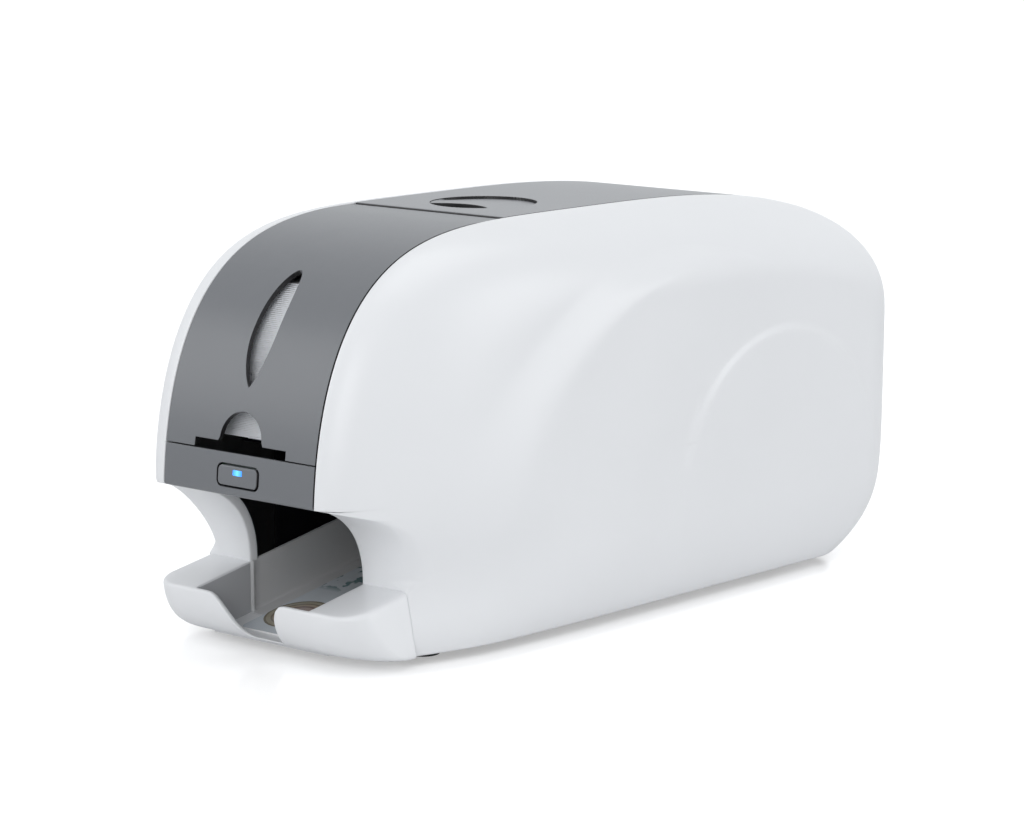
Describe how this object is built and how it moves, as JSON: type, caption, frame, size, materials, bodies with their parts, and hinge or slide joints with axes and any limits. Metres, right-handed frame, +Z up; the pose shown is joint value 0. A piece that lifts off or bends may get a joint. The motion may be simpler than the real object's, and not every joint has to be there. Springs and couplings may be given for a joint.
{
  "type": "card printer",
  "caption": "Desktop plastic card printer with a curved grey middle strip, hinged front and top covers, white side covers, a card hopper with window slit and an output tray.",
  "frame": {"origin": "on the table under the middle of the printer's overall box", "axes": "+Z up, -Y towards the front with the button and the tray, +X to the right seen from the front"},
  "size_m": [0.184, 0.4127, 0.2],
  "materials": {
    "white_cover": "slightly glossy white",
    "grey_cover": "satin grey",
    "dark_plastic": "matt black",
    "chute_grey": "matt dark grey",
    "steel": "brushed",
    "aluminium": "extruded",
    "rubber": "matt",
    "card_white": "glossy white",
    "light_blue": "lit blue window",
    "ribbon": "thin colour film",
    "board_green": "lacquered board"
  },
  "bodies": {
    "frame": {"base_pan": "steel", "blank_cards": "card_white", "board_posts": "steel", "button_board": "board_green", "card_deck": "dark_plastic", "card_hopper": "dark_plastic", "cassette_rails": "steel", "chute_prop": "steel", "control_board": "board_green", "drive_belt": "rubber", "drive_motor": "steel", "fan_housing": "dark_plastic", "front_hinge_pins": "steel", "front_panel": "grey_cover", "hopper_brackets": "steel", "left_side_cover": "white_cover", "left_side_plate": "steel", "output_chute": "chute_grey", "output_tray": "white_cover", "port_plate": "dark_plastic", "power_inlet": "dark_plastic", "printed_card": "card_white", "rear_bulkhead": "steel", "rear_hinge_pins": "steel", "rear_panel": "grey_cover", "ribbon_cassette": "dark_plastic", "ribbon_film": "ribbon", "right_side_cover": "white_cover", "right_side_plate": "steel", "rubber_feet": "rubber", "switch_frame": "dark_plastic", "usb_port": "dark_plastic"},
    "visor": {"front_cover": "grey_cover"},
    "lid": {"top_cover": "grey_cover", "print_head": "aluminium", "head_bracket": "steel"},
    "latch": {"cover_latch": "grey_cover"},
    "button": {"status_button": "grey_cover", "button_light": "light_blue"},
    "rocker": {"power_rocker": "dark_plastic"},
    "feed": {"feed_roller": "rubber", "feed_pulley": "dark_plastic"},
    "entry": {"entry_roller": "rubber", "entry_pulley": "dark_plastic"},
    "platen": {"platen_roller": "rubber", "platen_pulley": "dark_plastic"},
    "exit": {"exit_roller": "rubber", "exit_pulley": "dark_plastic"},
    "motor_shaft": {"motor_pulley": "dark_plastic"},
    "entry_pinch": {"entry_pinch_roller": "rubber"},
    "exit_pinch": {"exit_pinch_roller": "rubber"},
    "cleaner": {"cleaning_roller": "rubber"},
    "supply": {"supply_spool": "ribbon"},
    "takeup": {"takeup_spool": "ribbon"},
    "fan": {"fan_rotor": "dark_plastic"}
  },
  "joints": [
    {"name": "visor_hinge", "type": "hinge", "parent": "frame", "child": "visor", "pos_m": [0, -0.0885, 0.19564], "axis": [-1, 0, 0], "range_deg": [0, 70]},
    {"name": "lid_hinge", "type": "hinge", "parent": "frame", "child": "lid", "pos_m": [0, 0.1375, 0.18651], "axis": [-1, 0, 0], "range_deg": [0, 75]},
    {"name": "latch_hinge", "type": "hinge", "parent": "lid", "child": "latch", "pos_m": [0, -0.0125, 0.197], "axis": [-1, 0, 0], "range_deg": [0, 8], "stiffness_Nm_per_rad": 0.1},
    {"name": "button_press", "type": "slide", "parent": "frame", "child": "button", "axis": [0, 1, 0], "range_m": [0, 0.001], "stiffness_N_per_m": 400},
    {"name": "power_rocker_turn", "type": "hinge", "parent": "frame", "child": "rocker", "pos_m": [0.024, 0.19, 0.033], "axis": [1, 0, 0], "range_deg": [-8, 8]},
    {"name": "platen_spin", "type": "hinge", "parent": "frame", "child": "platen", "pos_m": [0, -0.0165, 0.0887], "axis": [1, 0, 0], "continuous": true},
    {"name": "feed_spin", "type": "hinge", "parent": "frame", "child": "feed", "pos_m": [0, -0.1265, 0.0887], "axis": [1, 0, 0], "continuous": true},
    {"name": "entry_spin", "type": "hinge", "parent": "frame", "child": "entry", "pos_m": [0, -0.0685, 0.0887], "axis": [1, 0, 0], "continuous": true},
    {"name": "exit_spin", "type": "hinge", "parent": "frame", "child": "exit", "pos_m": [0, 0.0435, 0.0887], "axis": [1, 0, 0], "continuous": true},
    {"name": "motor_spin", "type": "hinge", "parent": "frame", "child": "motor_shaft", "pos_m": [0, 0.07, 0.06], "axis": [1, 0, 0], "continuous": true},
    {"name": "entry_pinch_spin", "type": "hinge", "parent": "frame", "child": "entry_pinch", "pos_m": [0, -0.0685, 0.10406], "axis": [1, 0, 0], "continuous": true},
    {"name": "exit_pinch_spin", "type": "hinge", "parent": "frame", "child": "exit_pinch", "pos_m": [0, 0.0435, 0.10406], "axis": [1, 0, 0], "continuous": true},
    {"name": "cleaner_spin", "type": "hinge", "parent": "frame", "child": "cleaner", "pos_m": [0, -0.0445, 0.10706], "axis": [1, 0, 0], "continuous": true},
    {"name": "supply_spin", "type": "hinge", "parent": "frame", "child": "supply", "pos_m": [0, 0.0515, 0.148], "axis": [1, 0, 0], "continuous": true},
    {"name": "takeup_spin", "type": "hinge", "parent": "frame", "child": "takeup", "pos_m": [0, -0.0625, 0.148], "axis": [1, 0, 0], "continuous": true},
    {"name": "fan_spin", "type": "hinge", "parent": "frame", "child": "fan", "pos_m": [0, 0.1723, 0.1], "axis": [0, 1, 0], "continuous": true}
  ],
  "couplings": [
    {"joint": "feed_spin", "follows": "platen_spin", "ratio": 1},
    {"joint": "entry_spin", "follows": "platen_spin", "ratio": 1},
    {"joint": "exit_spin", "follows": "platen_spin", "ratio": 1},
    {"joint": "motor_spin", "follows": "platen_spin", "ratio": 1},
    {"joint": "entry_pinch_spin", "follows": "platen_spin", "ratio": -1.8},
    {"joint": "exit_pinch_spin", "follows": "platen_spin", "ratio": -1.8},
    {"joint": "cleaner_spin", "follows": "platen_spin", "ratio": -1.125},
    {"joint": "takeup_spin", "follows": "supply_spin", "ratio": 1.5833}
  ]
}
